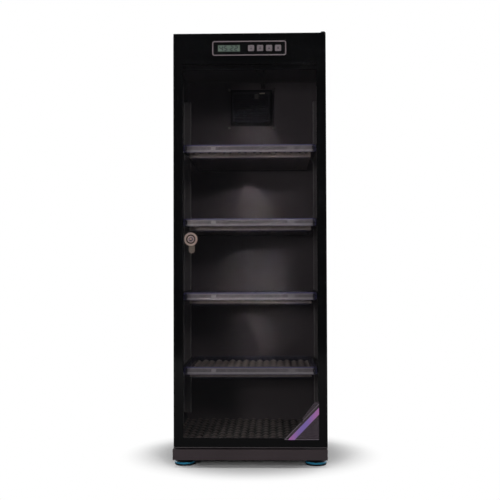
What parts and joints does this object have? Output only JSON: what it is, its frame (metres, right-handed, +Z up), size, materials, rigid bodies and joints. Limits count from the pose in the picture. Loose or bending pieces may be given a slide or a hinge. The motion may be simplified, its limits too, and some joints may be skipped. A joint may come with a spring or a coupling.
{
  "type": "camera dry cabinet",
  "caption": "Tall glass-door dry cabinet for cameras and lenses, with pull-out foam-lined trays, a humidity control panel in the door, a drying unit, a cam lock and levelling feet.",
  "frame": {"origin": "on the floor under the middle of the cabinet's bounding box", "axes": "+Z up; the glass door faces -Y; +X to the right of someone who faces the door"},
  "size_m": [0.4, 0.408, 1.1342],
  "materials": {
    "body_paint": "satin",
    "plinth_paint": "satin",
    "inner_paint": "matte",
    "upright_steel": "satin",
    "door_frame_paint": "satin",
    "hinge_steel": "satin",
    "screw_steel": "satin",
    "runner_plastic": "matte",
    "foam": "matte",
    "unit_plastic": "matte",
    "grille_plastic": "matte",
    "indicator": "gloss",
    "sensor_plastic": "matte",
    "cable_sleeve": "satin",
    "gland_plastic": "matte",
    "door_glass": "gloss",
    "seal_rubber": "matte",
    "label_film": "satin",
    "bezel_metal": "satin",
    "fascia_plastic": "gloss",
    "housing_plastic": "matte",
    "lcd": "gloss",
    "button_metal": "satin",
    "lock_chrome": "satin",
    "cam_steel": "satin",
    "tray_plastic": "gloss",
    "foot_rubber": "matte",
    "foot_ring": "satin"
  },
  "bodies": {
    "cabinet": {"plinth_front": "plinth_paint", "plinth_sides": "plinth_paint", "plinth_rear": "plinth_paint", "side_panel_left": "body_paint", "side_panel_right": "body_paint", "top_panel": "body_paint", "back_panel": "inner_paint", "floor_panel": "inner_paint", "ceiling_panel": "inner_paint", "face_stile_left": "body_paint", "face_stile_right": "body_paint", "face_header": "body_paint", "face_sill": "body_paint", "hinge_brackets": "hinge_steel", "screws": "screw_steel", "uprights": "upright_steel", "runners": "runner_plastic", "floor_mat": "foam", "unit_housing": "unit_plastic", "unit_grille": "grille_plastic", "unit_indicator": "indicator", "humidity_sensor": "sensor_plastic", "unit_cables": "cable_sleeve", "cable_gland": "gland_plastic", "rear_vent_cover": "gland_plastic"},
    "door": {"door_stile_left": "door_frame_paint", "door_stile_right": "door_frame_paint", "door_rail_top": "door_frame_paint", "door_rail_bottom": "door_frame_paint", "door_glass": "door_glass", "door_seal": "seal_rubber", "corner_label": "label_film", "control_bezel": "bezel_metal", "control_fascia": "fascia_plastic", "control_housing": "housing_plastic", "lcd": "lcd", "lock_body": "lock_chrome", "lock_nut": "cam_steel"},
    "lock": {"lock_core": "lock_chrome", "lock_cam": "cam_steel"},
    "button_1": {"button_1": "button_metal"},
    "button_2": {"button_2": "button_metal"},
    "button_3": {"button_3": "button_metal"},
    "button_4": {"button_4": "button_metal"},
    "tray_1": {"tray_1": "tray_plastic", "tray_foam_1": "foam"},
    "tray_2": {"tray_2": "tray_plastic", "tray_foam_2": "foam"},
    "tray_3": {"tray_3": "tray_plastic", "tray_foam_3": "foam"},
    "tray_4": {"tray_4": "tray_plastic", "tray_foam_4": "foam"},
    "foot_front_left": {"foot_front_left": "foot_rubber", "foot_ring_front_left": "foot_ring"},
    "foot_front_right": {"foot_front_right": "foot_rubber", "foot_ring_front_right": "foot_ring"},
    "foot_rear_left": {"foot_rear_left": "foot_rubber", "foot_ring_rear_left": "foot_ring"},
    "foot_rear_right": {"foot_rear_right": "foot_rubber", "foot_ring_rear_right": "foot_ring"}
  },
  "joints": [
    {"name": "door_hinge", "type": "hinge", "parent": "cabinet", "child": "door", "pos_m": [0.1935, -0.19, 0.048], "axis": [0, 0, 1], "range_deg": [0, 115]},
    {"name": "lock_turn", "type": "hinge", "parent": "door", "child": "lock", "pos_m": [-0.152, -0.204, 0.591], "axis": [0, 1, 0], "range_deg": [0, 90]},
    {"name": "button_1_press", "type": "slide", "parent": "door", "child": "button_1", "axis": [0, 1, 0], "range_m": [0, 0.001], "stiffness_N_per_m": 400},
    {"name": "button_2_press", "type": "slide", "parent": "door", "child": "button_2", "axis": [0, 1, 0], "range_m": [0, 0.001], "stiffness_N_per_m": 400},
    {"name": "button_3_press", "type": "slide", "parent": "door", "child": "button_3", "axis": [0, 1, 0], "range_m": [0, 0.001], "stiffness_N_per_m": 400},
    {"name": "button_4_press", "type": "slide", "parent": "door", "child": "button_4", "axis": [0, 1, 0], "range_m": [0, 0.001], "stiffness_N_per_m": 400},
    {"name": "tray_1_slide", "type": "slide", "parent": "cabinet", "child": "tray_1", "axis": [0, -1, 0], "range_m": [0, 0.034]},
    {"name": "tray_2_slide", "type": "slide", "parent": "cabinet", "child": "tray_2", "axis": [0, -1, 0], "range_m": [0, 0.034]},
    {"name": "tray_3_slide", "type": "slide", "parent": "cabinet", "child": "tray_3", "axis": [0, -1, 0], "range_m": [0, 0.034]},
    {"name": "tray_4_slide", "type": "slide", "parent": "cabinet", "child": "tray_4", "axis": [0, -1, 0], "range_m": [0, 0.034]},
    {"name": "foot_front_left_level", "type": "slide", "parent": "cabinet", "child": "foot_front_left", "axis": [0, 0, 1], "range_m": [-0.01, 0]},
    {"name": "foot_front_right_level", "type": "slide", "parent": "cabinet", "child": "foot_front_right", "axis": [0, 0, 1], "range_m": [-0.01, 0]},
    {"name": "foot_rear_left_level", "type": "slide", "parent": "cabinet", "child": "foot_rear_left", "axis": [0, 0, 1], "range_m": [-0.01, 0]},
    {"name": "foot_rear_right_level", "type": "slide", "parent": "cabinet", "child": "foot_rear_right", "axis": [0, 0, 1], "range_m": [-0.01, 0]}
  ]
}
